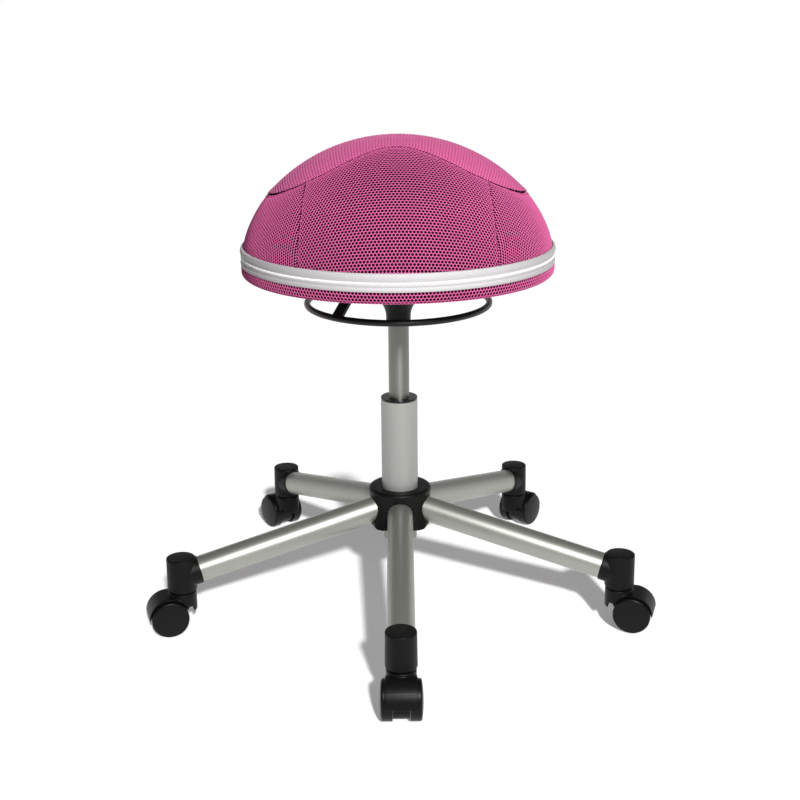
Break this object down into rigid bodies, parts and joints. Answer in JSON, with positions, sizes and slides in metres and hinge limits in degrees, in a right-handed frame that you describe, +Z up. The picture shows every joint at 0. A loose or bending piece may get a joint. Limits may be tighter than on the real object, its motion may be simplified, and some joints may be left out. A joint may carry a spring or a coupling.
{
  "type": "half-ball swivel stool on casters",
  "caption": "Height-adjustable active-sitting stool: an air-filled half ball under a zipped mesh cover, on a gas lift with a ring lever and a five-star caster base.",
  "frame": {"origin": "on the floor, below the gas lift's axis", "axes": "+Z up along the lift, -Y to the front, where one arm of the base points, +X to the right seen from the front"},
  "size_m": [0.6916, 0.6577, 0.6475],
  "materials": {
    "cover_mesh": "open hexagon spacer mesh, pink",
    "zip_tape": "white woven zip tape",
    "zip_coil": "white coil teeth",
    "zip_metal": "white lacquered slider",
    "ball_rubber": "soft matt rubber",
    "plug_plastic": "soft white plug",
    "pan_plastic": "moulded, fine grain",
    "black_plastic": "moulded, fine grain",
    "collar_black": "polished",
    "caster_plastic": "moulded, satin",
    "wheel_plastic": "moulded, satin",
    "lever_black": "black powder coat",
    "arm_silver": "silver-grey paint, satin",
    "column_silver": "silver-grey paint, satin",
    "cylinder_grey": "ground steel",
    "bare_steel": "turned steel",
    "bright_steel": "ground and plated"
  },
  "bodies": {
    "base": {"hub_cover": "black_plastic", "hub_core": "bare_steel", "column_tube": "column_silver", "guide_bush": "collar_black", "bearing_race_lower": "bare_steel", "bearing_balls": "bright_steel", "base_arm_1": "arm_silver", "base_arm_2": "arm_silver", "base_arm_3": "arm_silver", "base_arm_4": "arm_silver", "base_arm_5": "arm_silver", "caster_holder_1": "black_plastic", "caster_holder_2": "black_plastic", "caster_holder_3": "black_plastic", "caster_holder_4": "black_plastic", "caster_holder_5": "black_plastic"},
    "spindle": {"piston_rod": "bright_steel", "piston": "bare_steel", "bearing_race_upper": "bare_steel", "rod_clip": "bare_steel"},
    "seat": {"gas_cylinder": "cylinder_grey", "seat_mount": "black_plastic", "lever_pin": "bright_steel", "seat_screws": "bare_steel", "seat_pan": "pan_plastic", "half_ball": "ball_rubber", "air_plug": "plug_plastic", "cover_dome": "cover_mesh", "cover_skirt": "cover_mesh", "zip_tapes": "zip_tape", "zip_coil": "zip_coil"},
    "lever": {"ring_lever": "lever_black"},
    "valve": {"valve_pin": "bright_steel"},
    "slider": {"zip_slider": "zip_metal"},
    "pull": {"zip_pull": "zip_metal"},
    "caster_1": {"caster_hood_1": "caster_plastic", "caster_stem_1": "bare_steel", "caster_axle_1": "bare_steel"},
    "wheel_1_left": {"wheel_1_left": "wheel_plastic"},
    "wheel_1_right": {"wheel_1_right": "wheel_plastic"},
    "caster_2": {"caster_hood_2": "caster_plastic", "caster_stem_2": "bare_steel", "caster_axle_2": "bare_steel"},
    "wheel_2_left": {"wheel_2_left": "wheel_plastic"},
    "wheel_2_right": {"wheel_2_right": "wheel_plastic"},
    "caster_3": {"caster_hood_3": "caster_plastic", "caster_stem_3": "bare_steel", "caster_axle_3": "bare_steel"},
    "wheel_3_left": {"wheel_3_left": "wheel_plastic"},
    "wheel_3_right": {"wheel_3_right": "wheel_plastic"},
    "caster_4": {"caster_hood_4": "caster_plastic", "caster_stem_4": "bare_steel", "caster_axle_4": "bare_steel"},
    "wheel_4_left": {"wheel_4_left": "wheel_plastic"},
    "wheel_4_right": {"wheel_4_right": "wheel_plastic"},
    "caster_5": {"caster_hood_5": "caster_plastic", "caster_stem_5": "bare_steel", "caster_axle_5": "bare_steel"},
    "wheel_5_left": {"wheel_5_left": "wheel_plastic"},
    "wheel_5_right": {"wheel_5_right": "wheel_plastic"}
  },
  "joints": [
    {"name": "seat_swivel", "type": "hinge", "parent": "base", "child": "spindle", "pos_m": [0, 0, 0.1], "axis": [0, 0, 1], "continuous": true},
    {"name": "seat_height", "type": "slide", "parent": "spindle", "child": "seat", "axis": [0, 0, 1], "range_m": [-0.1, 0]},
    {"name": "ring_tilt", "type": "hinge", "parent": "seat", "child": "lever", "pos_m": [-0.01607, -0.01915, 0.463], "axis": [-0.766, 0.6428, 0], "range_deg": [0, 5.7], "stiffness_Nm_per_rad": 6, "springref_deg": -3.44},
    {"name": "valve_press", "type": "slide", "parent": "seat", "child": "valve", "axis": [0, 0, 1], "range_m": [-0.003, 0]},
    {"name": "zip_run", "type": "hinge", "parent": "seat", "child": "slider", "pos_m": [0, 0, 0.497], "axis": [0, 0, 1], "range_deg": [0, 340]},
    {"name": "pull_swing", "type": "hinge", "parent": "slider", "child": "pull", "pos_m": [0, 0.21015, 0.49925], "axis": [1, 0, 0], "range_deg": [0, 120]},
    {"name": "caster_swivel_1", "type": "hinge", "parent": "base", "child": "caster_1", "pos_m": [0, -0.309, 0.056], "axis": [0, 0, 1], "continuous": true},
    {"name": "wheel_roll_1_left", "type": "hinge", "parent": "caster_1", "child": "wheel_1_left", "pos_m": [0, -0.3298, 0.025], "axis": [1, 0, 0], "continuous": true},
    {"name": "wheel_roll_1_right", "type": "hinge", "parent": "caster_1", "child": "wheel_1_right", "pos_m": [0, -0.3298, 0.025], "axis": [1, 0, 0], "continuous": true},
    {"name": "caster_swivel_2", "type": "hinge", "parent": "base", "child": "caster_2", "pos_m": [-0.29388, -0.09549, 0.056], "axis": [0, 0, 1], "continuous": true},
    {"name": "wheel_roll_2_left", "type": "hinge", "parent": "caster_2", "child": "wheel_2_left", "pos_m": [-0.31366, -0.10191, 0.025], "axis": [0.309, -0.9511, 0], "continuous": true},
    {"name": "wheel_roll_2_right", "type": "hinge", "parent": "caster_2", "child": "wheel_2_right", "pos_m": [-0.31366, -0.10191, 0.025], "axis": [0.309, -0.9511, 0], "continuous": true},
    {"name": "caster_swivel_3", "type": "hinge", "parent": "base", "child": "caster_3", "pos_m": [-0.18163, 0.24999, 0.056], "axis": [0, 0, 1], "continuous": true},
    {"name": "wheel_roll_3_left", "type": "hinge", "parent": "caster_3", "child": "wheel_3_left", "pos_m": [-0.19385, 0.26681, 0.025], "axis": [-0.809, -0.5878, 0], "continuous": true},
    {"name": "wheel_roll_3_right", "type": "hinge", "parent": "caster_3", "child": "wheel_3_right", "pos_m": [-0.19385, 0.26681, 0.025], "axis": [-0.809, -0.5878, 0], "continuous": true},
    {"name": "caster_swivel_4", "type": "hinge", "parent": "base", "child": "caster_4", "pos_m": [0.18163, 0.24999, 0.056], "axis": [0, 0, 1], "continuous": true},
    {"name": "wheel_roll_4_left", "type": "hinge", "parent": "caster_4", "child": "wheel_4_left", "pos_m": [0.19385, 0.26681, 0.025], "axis": [-0.809, 0.5878, 0], "continuous": true},
    {"name": "wheel_roll_4_right", "type": "hinge", "parent": "caster_4", "child": "wheel_4_right", "pos_m": [0.19385, 0.26681, 0.025], "axis": [-0.809, 0.5878, 0], "continuous": true},
    {"name": "caster_swivel_5", "type": "hinge", "parent": "base", "child": "caster_5", "pos_m": [0.29388, -0.09549, 0.056], "axis": [0, 0, 1], "continuous": true},
    {"name": "wheel_roll_5_left", "type": "hinge", "parent": "caster_5", "child": "wheel_5_left", "pos_m": [0.31366, -0.10191, 0.025], "axis": [0.309, 0.9511, 0], "continuous": true},
    {"name": "wheel_roll_5_right", "type": "hinge", "parent": "caster_5", "child": "wheel_5_right", "pos_m": [0.31366, -0.10191, 0.025], "axis": [0.309, 0.9511, 0], "continuous": true}
  ],
  "couplings": [
    {"joint": "valve_press", "follows": "ring_tilt", "m_per_rad": -0.029}
  ]
}
